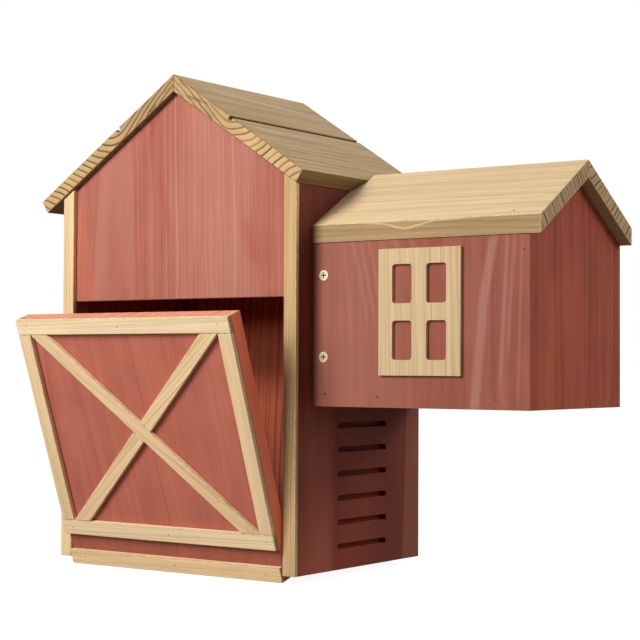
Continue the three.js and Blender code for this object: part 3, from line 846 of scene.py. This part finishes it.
brads("brads_annexe_walls", "box", [
    *on_face(Vector((BARN_SIDE, ANNEXE_FRONT, ANNEXE_BASE)), X, Z, -Y, (
        (11.9, 9.8), (60.8, 8.2), (165.2, 7.5), (188.2, 117.7))),
    *on_face(Vector((BARN_SIDE, ANNEXE_BACK, ANNEXE_BASE)), X, Z, Y, (
        (12, 8), (62, 8), (114, 8), (166, 7.5), (187.5, 30), (187.5, 112))),
    *on_face(Vector((ANNEXE_END, 0, ANNEXE_BASE)), Y, Z, X, ((-45.2, 5.6), (56.0, 6.0))),
])
brads("brads_barn_walls", "box", [
    *on_face(X * BARN_SIDE, Y, Z, X, (
        (-85.1, 296.4), (-67.2, 4.3), (5.5, 4.2), (62.4, 3.1), (83.2, 60), (83.4, 292))),
    *on_face(X * -BARN_SIDE, Y, Z, -X, (
        (-83.5, 296), (-66, 4.4), (2, 4.6), (64, 4.2), (83.3, 40), (83.0, 160), (83.4, 288))),
])
brads("brads_roofs", "box", [
    *on_face(BARN_RIDGE, Y, RIGHT_SLOPE, RIGHT_FACE, ((-82.4, 130.5), (82.5, 130.2))),
    *on_face(BARN_RIDGE, Y, LEFT_SLOPE, LEFT_FACE, ((-82.2, 131.0), (82.8, 130.6))),
    *on_face(ANNEXE_RIDGE, X, FRONT_SLOPE, FRONT_FACE, ((9.7, 68.9), (177.1, 83))),
    *on_face(ANNEXE_RIDGE, X, BACK_SLOPE, BACK_FACE, ((19.5, 83), (176.6, 83))),
])
brads("brads_hatch", "door", on_face(hatch_point(0, TRIM_FACE, 0), X, HATCH_UP, -HATCH_IN, (
    (-100.6, 203.1), (-0.8, 201.3), (101, 202.4), (-101.2, 22.8), (4.5, 23.1), (104.1, 23.9),
    (-93.4, 192.4), (63.7, 55.4), (93.6, 33.4), (-96, -4.6), (4, -4.2), (97, -4.5),
)), HATCH_BRAD_SIZE)


# Floor, light and camera

TOP_LIGHT = 0.2
BACK_LIGHT = 1.7
BACK_LIGHT_WAY = (0.40, 0.87, 0.28)
FLOOR_TONE = 0.25
FLOOR_LIGHT = 0.3  # about what the lamps give the floor: its glow makes up the rest to white
FLOOR_HALF = 30.0
FLOOR_GAP = 0.3 * MM
WHITE = (1, 1, 1, 1)


def seen_ray(t):
    """1 where the camera looks, straight or through a mirror or glass."""
    path = t.add("ShaderNodeLightPath").outputs
    mirrored = t.math("MAXIMUM", path["Is Glossy Ray"], path["Is Transmission Ray"])
    return t.math("MAXIMUM", path["Is Camera Ray"], mirrored)


def floor_material():
    material, t = empty_material("studio_floor")
    shade = t.add("ShaderNodeBsdfDiffuse", {"Color": (FLOOR_TONE, FLOOR_TONE, FLOOR_TONE, 1)})
    strength = t.times(seen_ray(t), 1.0 - FLOOR_TONE * FLOOR_LIGHT)
    glow = t.add("ShaderNodeEmission", {"Color": WHITE, "Strength": strength})
    both = t.add("ShaderNodeAddShader", {0: shade.outputs[0], 1: glow.outputs[0]})
    t.add("ShaderNodeOutputMaterial", {"Surface": both.outputs[0]})
    return material


floor_mesh = bpy.data.meshes.new("studio_floor")
floor_mesh.from_pydata(
    [(x * FLOOR_HALF, y * FLOOR_HALF, 0) for x, y in ((-1, -1), (1, -1), (1, 1), (-1, 1))],
    [], [(0, 1, 2, 3)])
studio_floor = bpy.data.objects.new("studio_floor", floor_mesh)
studio_floor.location.z = cad_box[0][2] - FLOOR_GAP
studio_floor.data.materials.append(floor_material())
bpy.context.scene.collection.objects.link(studio_floor)


def studio_world():
    """White to look at, with a soft light from above and a stronger one from behind."""
    world = bpy.data.worlds.new("studio")
    world.use_nodes = True
    world.node_tree.nodes.clear()
    t = Tree(world.node_tree)
    way = t.coordinate("Generated")
    overhead = t.math("MAXIMUM", t.vec("DOT_PRODUCT", way, tuple(Z)), 0.0)
    behind = t.math("MAXIMUM", t.vec("DOT_PRODUCT", way, BACK_LIGHT_WAY), 0.0)
    glow = t.plus(t.times(overhead, TOP_LIGHT), t.times(behind, behind, BACK_LIGHT))
    dim = t.add("ShaderNodeBackground", {"Color": WHITE, "Strength": glow}).outputs[0]
    white = t.add("ShaderNodeBackground", {"Color": WHITE, "Strength": 1.0}).outputs[0]
    both = t.add("ShaderNodeMixShader", {0: seen_ray(t), 1: dim, 2: white}).outputs[0]
    t.add("ShaderNodeOutputWorld", {"Surface": both})
    return world


bpy.context.scene.world = studio_world()


def softbox(name, place, target, size, power):
    data = bpy.data.lights.new(name, "AREA")
    data.shape = "SQUARE"
    data.size = size
    data.energy = power
    lamp = bpy.data.objects.new(name, data)
    lamp.location = place
    lamp.rotation_euler = (Vector(place) - Vector(target)).to_track_quat("Z", "Y").to_euler()
    bpy.context.scene.collection.objects.link(lamp)


BARN_MIDDLE = (0, -0.1, 0.18)
ANNEXE_TARGET = (0.32, 0, 0.22)
softbox("key_softbox", (-0.25, -1.443, 1.008), BARN_MIDDLE, size=0.6, power=17.2)
softbox("front_softbox", (-0.25, -1.5, 0.6), BARN_MIDDLE, size=0.6, power=8.8)
softbox("back_softbox", (1.55, 0.95, 0.8), ANNEXE_TARGET, size=0.45, power=8.0)

# The camera as fitted to the photo
PHOTO_SIZE = 640
FOCAL = 1663.827  # in the photo's pixels
SENSOR = 36  # mm
YAW = 0.6145603
PITCH = 0.0268912
ROLL = -0.0046179
ahead = Vector((-math.sin(YAW) * math.cos(PITCH), math.cos(YAW) * math.cos(PITCH), math.sin(PITCH)))
level = Vector((math.cos(YAW), math.sin(YAW), 0))
down = ahead.cross(level)
right = level * math.cos(ROLL) + down * math.sin(ROLL)
below = down * math.cos(ROLL) - level * math.sin(ROLL)
# A point on the middle line of the barn's front, and how far right, below and ahead of the eye
# it lies, both in mm
fitted = Vector((0, -89, 200))
seen_at = Vector((-118.6394, 1.7785, 1374.3651))
eye = (fitted - right * seen_at.x - below * seen_at.y - ahead * seen_at.z) * MM

camera_data = bpy.data.cameras.new("camera")
camera_data.sensor_width = SENSOR
camera_data.lens = FOCAL / PHOTO_SIZE * SENSOR
camera_data.clip_start = 0.05
camera_data.clip_end = 100
camera = bpy.data.objects.new("camera", camera_data)
camera.matrix_world = Matrix((
    (right.x, -below.x, -ahead.x, eye.x),
    (right.y, -below.y, -ahead.y, eye.y),
    (right.z, -below.z, -ahead.z, eye.z),
    (0, 0, 0, 1),
))
bpy.context.scene.collection.objects.link(camera)
bpy.context.scene.camera = camera

bpy.context.scene.view_settings.view_transform = "Standard"
